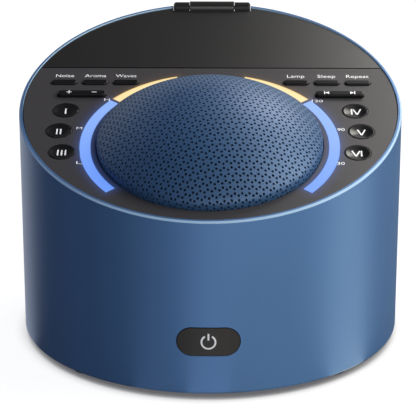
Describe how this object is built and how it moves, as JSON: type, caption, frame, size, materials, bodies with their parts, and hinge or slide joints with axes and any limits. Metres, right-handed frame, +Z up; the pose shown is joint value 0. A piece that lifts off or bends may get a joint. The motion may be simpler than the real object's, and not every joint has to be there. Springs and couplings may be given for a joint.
{
  "type": "white noise sound machine",
  "caption": "Table-top white noise sound machine: upright drum with a slanted control deck, domed speaker grille, light arcs and a hinged rear lid over a scent bay.",
  "frame": {"origin": "on the table under the drum axis", "axes": "+Z up, +X to the right of the user, -Y towards the user"},
  "size_m": [0.13, 0.1302, 0.1009],
  "materials": {
    "shell_blue": "satin metallic blue paint with fine flake on moulded plastic",
    "deck_black": "satin charcoal plastic",
    "lid_black": "satin charcoal plastic",
    "button_black": "glossy black plastic",
    "light_blue": "frosted light guide lit blue",
    "light_amber": "frosted light guide lit warm white",
    "grille_blue": "satin blue painted perforated steel",
    "cloth_black": "fine black acoustic cloth",
    "foot_rubber": "matt black rubber",
    "base_plastic": "fine textured black plastic",
    "inner_plastic": "plain dark grey plastic",
    "tub_plastic": "fine matt black plastic",
    "screw_steel": "zinc plated steel",
    "pin_steel": "drawn steel",
    "board_green": "green solder mask",
    "chip_black": "moulded black component bodies",
    "led_white": "clear cast over a pale chip",
    "basket_steel": "black painted pressed steel",
    "magnet_ferrite": "ground ferrite",
    "plate_steel": "zinc plated steel",
    "cone_paper": "pressed black paper",
    "surround_rubber": "soft black rubber",
    "spider_cloth": "resin stiffened cloth",
    "pad_felt": "white absorbent felt",
    "socket_steel": "bright plated steel",
    "ribbon_grey": "grey flat cable jacket",
    "lead_black": "black lead jacket"
  },
  "bodies": {
    "root": {"outer_shell": "shell_blue", "base_cover": "base_plastic", "rubber_feet": "foot_rubber", "base_screws": "screw_steel", "inner_frame": "inner_plastic", "frame_screws": "screw_steel", "panel_screws": "screw_steel", "tub_screws": "screw_steel", "control_panel": "deck_black", "speaker_grille": "grille_blue", "grille_cloth": "cloth_black", "light_guide_blue_left": "light_blue", "light_guide_blue_right": "light_blue", "light_guide_amber_left": "light_amber", "light_guide_amber_right": "light_amber", "control_board": "board_green", "tact_switches": "chip_black", "led_chips": "led_white", "power_board": "board_green", "power_screws": "screw_steel", "speaker_basket": "basket_steel", "speaker_top_plate": "plate_steel", "speaker_magnet": "magnet_ferrite", "speaker_yoke": "plate_steel", "speaker_surround": "surround_rubber", "speaker_spider": "spider_cloth", "speaker_screws": "screw_steel", "hinge_pin": "pin_steel", "hinge_bracket": "deck_black", "bracket_screws": "screw_steel", "diffuser_tub": "tub_plastic", "pad_tray": "tub_plastic", "aroma_pad": "pad_felt", "fan_housing": "base_plastic", "fan_screws": "screw_steel", "main_board": "board_green", "board_screws": "screw_steel", "board_parts": "chip_black", "usb_socket": "socket_steel", "ribbon_cable": "ribbon_grey", "inner_leads": "lead_black"},
    "lid": {"aroma_lid": "lid_black"},
    "noise_key": {"noise_button": "button_black"},
    "aroma_key": {"aroma_button": "button_black"},
    "waves_key": {"waves_button": "button_black"},
    "lamp_key": {"lamp_button": "button_black"},
    "sleep_key": {"sleep_button": "button_black"},
    "repeat_key": {"repeat_button": "button_black"},
    "volume_key": {"volume_rocker": "button_black"},
    "track_key": {"track_rocker": "button_black"},
    "preset_key_1": {"preset_button_1": "button_black"},
    "preset_key_2": {"preset_button_2": "button_black"},
    "preset_key_3": {"preset_button_3": "button_black"},
    "preset_key_4": {"preset_button_4": "button_black"},
    "preset_key_5": {"preset_button_5": "button_black"},
    "preset_key_6": {"preset_button_6": "button_black"},
    "power_key": {"power_button": "button_black"},
    "fan": {"fan_rotor": "base_plastic"},
    "cone": {"speaker_cone": "cone_paper"}
  },
  "joints": [
    {"name": "lid_hinge", "type": "hinge", "parent": "root", "child": "lid", "pos_m": [0, 0.0626, 0.09864], "axis": [-1, 0, 0], "range_deg": [0, 100]},
    {"name": "noise_press", "type": "slide", "parent": "root", "child": "noise_key", "axis": [0, 0.2833, -0.959], "range_m": [0, 0.0005], "stiffness_N_per_m": 300},
    {"name": "aroma_press", "type": "slide", "parent": "root", "child": "aroma_key", "axis": [0, 0.2833, -0.959], "range_m": [0, 0.0005], "stiffness_N_per_m": 300},
    {"name": "waves_press", "type": "slide", "parent": "root", "child": "waves_key", "axis": [0, 0.2833, -0.959], "range_m": [0, 0.0005], "stiffness_N_per_m": 300},
    {"name": "lamp_press", "type": "slide", "parent": "root", "child": "lamp_key", "axis": [0, 0.2833, -0.959], "range_m": [0, 0.0005], "stiffness_N_per_m": 300},
    {"name": "sleep_press", "type": "slide", "parent": "root", "child": "sleep_key", "axis": [0, 0.2833, -0.959], "range_m": [0, 0.0005], "stiffness_N_per_m": 300},
    {"name": "repeat_press", "type": "slide", "parent": "root", "child": "repeat_key", "axis": [0, 0.2833, -0.959], "range_m": [0, 0.0005], "stiffness_N_per_m": 300},
    {"name": "preset_1_press", "type": "slide", "parent": "root", "child": "preset_key_1", "axis": [0, 0.2833, -0.959], "range_m": [0, 0.0005], "stiffness_N_per_m": 300},
    {"name": "preset_2_press", "type": "slide", "parent": "root", "child": "preset_key_2", "axis": [0, 0.2833, -0.959], "range_m": [0, 0.0005], "stiffness_N_per_m": 300},
    {"name": "preset_3_press", "type": "slide", "parent": "root", "child": "preset_key_3", "axis": [0, 0.2833, -0.959], "range_m": [0, 0.0005], "stiffness_N_per_m": 300},
    {"name": "preset_4_press", "type": "slide", "parent": "root", "child": "preset_key_4", "axis": [0, 0.2833, -0.959], "range_m": [0, 0.0005], "stiffness_N_per_m": 300},
    {"name": "preset_5_press", "type": "slide", "parent": "root", "child": "preset_key_5", "axis": [0, 0.2833, -0.959], "range_m": [0, 0.0005], "stiffness_N_per_m": 300},
    {"name": "preset_6_press", "type": "slide", "parent": "root", "child": "preset_key_6", "axis": [0, 0.2833, -0.959], "range_m": [0, 0.0005], "stiffness_N_per_m": 300},
    {"name": "volume_tilt", "type": "hinge", "parent": "root", "child": "volume_key", "pos_m": [-0.0442, 0.00655, 0.07894], "axis": [0, 0.959, 0.2833], "range_deg": [-2.5, 2.5], "stiffness_Nm_per_rad": 0.02},
    {"name": "track_tilt", "type": "hinge", "parent": "root", "child": "track_key", "pos_m": [0.0442, 0.00655, 0.07894], "axis": [0, 0.959, 0.2833], "range_deg": [-2.5, 2.5], "stiffness_Nm_per_rad": 0.02},
    {"name": "power_press", "type": "slide", "parent": "root", "child": "power_key", "axis": [0, 1, 0], "range_m": [0, 0.0006], "stiffness_N_per_m": 400},
    {"name": "fan_spin", "type": "hinge", "parent": "root", "child": "fan", "pos_m": [0, 0.04434, 0.06821], "axis": [0, -0.2833, 0.959], "continuous": true},
    {"name": "cone_stroke", "type": "slide", "parent": "root", "child": "cone", "axis": [0, -0.2833, 0.959], "range_m": [-0.001, 0.001], "stiffness_N_per_m": 1500, "deforming": ["speaker_surround", "speaker_spider"]}
  ]
}
